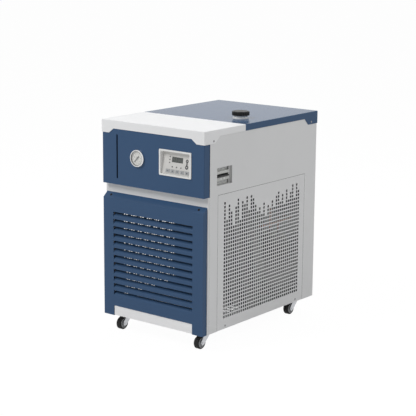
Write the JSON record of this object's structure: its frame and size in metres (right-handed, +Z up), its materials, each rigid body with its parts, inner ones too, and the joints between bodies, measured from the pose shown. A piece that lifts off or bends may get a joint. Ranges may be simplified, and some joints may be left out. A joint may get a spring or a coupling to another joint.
{
  "type": "recirculating chiller",
  "caption": "Recirculating chiller: floor cabinet on castors with a louvred front, perforated side vents, level slot, gauge, digital controller, side breaker and a filler cap on top.",
  "frame": {"origin": "centre of the footprint on the floor, below the middle of the bounding box", "axes": "+X to the right seen from the front, +Y from the front panels to the rear, +Z up"},
  "size_m": [0.4148, 0.6266, 0.709],
  "materials": {
    "white_paint": "smooth white powder coat",
    "blue_paint": "smooth dark blue powder coat",
    "grey_paint": "smooth off-white powder coat",
    "bare_steel": "zinc plated or stainless sheet",
    "zinc": "bright zinc plate",
    "bright_metal": "polished steel",
    "black_plastic": "moulded, fine texture",
    "pale_plastic": "moulded, fine texture",
    "grey_plastic": "moulded, fine texture",
    "white_plastic": "moulded, satin",
    "dark_window": "dark clear window over the display",
    "rubber": "plain rubber",
    "tyre_rubber": "plain solid tyre",
    "clear": "clear",
    "dial_white": "printed dial sheet",
    "copper": "drawn copper tube",
    "black_paint": "black enamel",
    "fins": "finned block",
    "cast": "grey painted casting",
    "brass": "turned brass",
    "hose": "smooth hose"
  },
  "bodies": {
    "cabinet": {"base_tray": "grey_paint", "breaker_body": "pale_plastic", "cable_gland": "black_plastic", "castor_plates": "zinc", "circulation_pump": "cast", "compressor": "black_paint", "compressor_mounts": "rubber", "condenser": "fins", "controller_bezel": "pale_plastic", "controller_face": "grey_plastic", "display_window": "dark_window", "drain_plug": "black_plastic", "drain_port": "brass", "electrical_box": "bare_steel", "evaporator": "bare_steel", "fan_motor": "black_paint", "fan_shroud": "black_paint", "filler_neck": "white_plastic", "front_frame": "grey_paint", "front_top_cover": "white_paint", "gauge_case": "bright_metal", "gauge_dial": "dial_white", "gauge_glass": "clear", "left_side_panel": "grey_paint", "left_vent_panel": "grey_paint", "level_tube": "clear", "lower_front_panel": "blue_paint", "panel_screws": "bright_metal", "rear_panel": "grey_paint", "rear_top_cover": "blue_paint", "refrigerant_lines": "copper", "reservoir_tank": "bare_steel", "right_side_panel": "grey_paint", "right_vent_panel": "grey_paint", "tank_shelf": "bare_steel", "upper_front_panel": "blue_paint", "water_hoses": "hose", "water_ports": "brass"},
    "cap": {"filler_cap": "black_plastic", "cap_gasket": "rubber"},
    "needle": {"gauge_needle": "black_plastic"},
    "toggle": {"breaker_toggle": "black_plastic"},
    "fan": {"fan_rotor": "black_plastic"},
    "key_1": {"key_1": "grey_plastic"},
    "key_2": {"key_2": "grey_plastic"},
    "key_3": {"key_3": "grey_plastic"},
    "key_4": {"key_4": "grey_plastic"},
    "key_5": {"key_5": "grey_plastic"},
    "castor_front_left": {"castor_fork_front_left": "zinc"},
    "wheel_front_left": {"castor_rim_front_left": "grey_plastic", "castor_tyre_front_left": "tyre_rubber"},
    "castor_front_right": {"castor_fork_front_right": "zinc"},
    "wheel_front_right": {"castor_rim_front_right": "grey_plastic", "castor_tyre_front_right": "tyre_rubber"},
    "castor_rear_left": {"castor_fork_rear_left": "zinc"},
    "wheel_rear_left": {"castor_rim_rear_left": "grey_plastic", "castor_tyre_rear_left": "tyre_rubber"},
    "castor_rear_right": {"castor_fork_rear_right": "zinc"},
    "wheel_rear_right": {"castor_rim_rear_right": "grey_plastic", "castor_tyre_rear_right": "tyre_rubber"}
  },
  "joints": [
    {"name": "cap_lift", "type": "slide", "parent": "cabinet", "child": "cap", "axis": [0, 0, 1], "range_m": [0, 0.045]},
    {"name": "needle_turn", "type": "hinge", "parent": "cabinet", "child": "needle", "pos_m": [-0.057, -0.3095, 0.577], "axis": [0, 1, 0], "range_deg": [0, 270], "stiffness_Nm_per_rad": 0.0005},
    {"name": "toggle_throw", "type": "hinge", "parent": "cabinet", "child": "toggle", "pos_m": [0.1954, -0.20995, 0.54125], "axis": [0, -1, 0], "range_deg": [0, 40]},
    {"name": "fan_spin", "type": "hinge", "parent": "cabinet", "child": "fan", "pos_m": [-0.02, 0.062, 0.24], "axis": [0, 1, 0], "continuous": true},
    {"name": "key_1_press", "type": "slide", "parent": "cabinet", "child": "key_1", "axis": [0, 0.9899, -0.1414], "range_m": [0, 0.0008], "stiffness_N_per_m": 300},
    {"name": "key_2_press", "type": "slide", "parent": "cabinet", "child": "key_2", "axis": [0, 0.9899, -0.1414], "range_m": [0, 0.0008], "stiffness_N_per_m": 300},
    {"name": "key_3_press", "type": "slide", "parent": "cabinet", "child": "key_3", "axis": [0, 0.9899, -0.1414], "range_m": [0, 0.0008], "stiffness_N_per_m": 300},
    {"name": "key_4_press", "type": "slide", "parent": "cabinet", "child": "key_4", "axis": [0, 0.9899, -0.1414], "range_m": [0, 0.0008], "stiffness_N_per_m": 300},
    {"name": "key_5_press", "type": "slide", "parent": "cabinet", "child": "key_5", "axis": [0, 0.9899, -0.1414], "range_m": [0, 0.0008], "stiffness_N_per_m": 300},
    {"name": "swivel_front_left", "type": "hinge", "parent": "cabinet", "child": "castor_front_left", "pos_m": [-0.16, -0.244, 0.046], "axis": [0, 0, 1], "continuous": true},
    {"name": "roll_front_left", "type": "hinge", "parent": "castor_front_left", "child": "wheel_front_left", "pos_m": [-0.16, -0.268, 0.02], "axis": [1, 0, 0], "continuous": true},
    {"name": "swivel_front_right", "type": "hinge", "parent": "cabinet", "child": "castor_front_right", "pos_m": [0.16, -0.244, 0.046], "axis": [0, 0, 1], "continuous": true},
    {"name": "roll_front_right", "type": "hinge", "parent": "castor_front_right", "child": "wheel_front_right", "pos_m": [0.16, -0.268, 0.02], "axis": [1, 0, 0], "continuous": true},
    {"name": "swivel_rear_left", "type": "hinge", "parent": "cabinet", "child": "castor_rear_left", "pos_m": [-0.16, 0.237, 0.046], "axis": [0, 0, 1], "continuous": true},
    {"name": "roll_rear_left", "type": "hinge", "parent": "castor_rear_left", "child": "wheel_rear_left", "pos_m": [-0.16, 0.213, 0.02], "axis": [1, 0, 0], "continuous": true},
    {"name": "swivel_rear_right", "type": "hinge", "parent": "cabinet", "child": "castor_rear_right", "pos_m": [0.16, 0.237, 0.046], "axis": [0, 0, 1], "continuous": true},
    {"name": "roll_rear_right", "type": "hinge", "parent": "castor_rear_right", "child": "wheel_rear_right", "pos_m": [0.16, 0.213, 0.02], "axis": [1, 0, 0], "continuous": true}
  ]
}
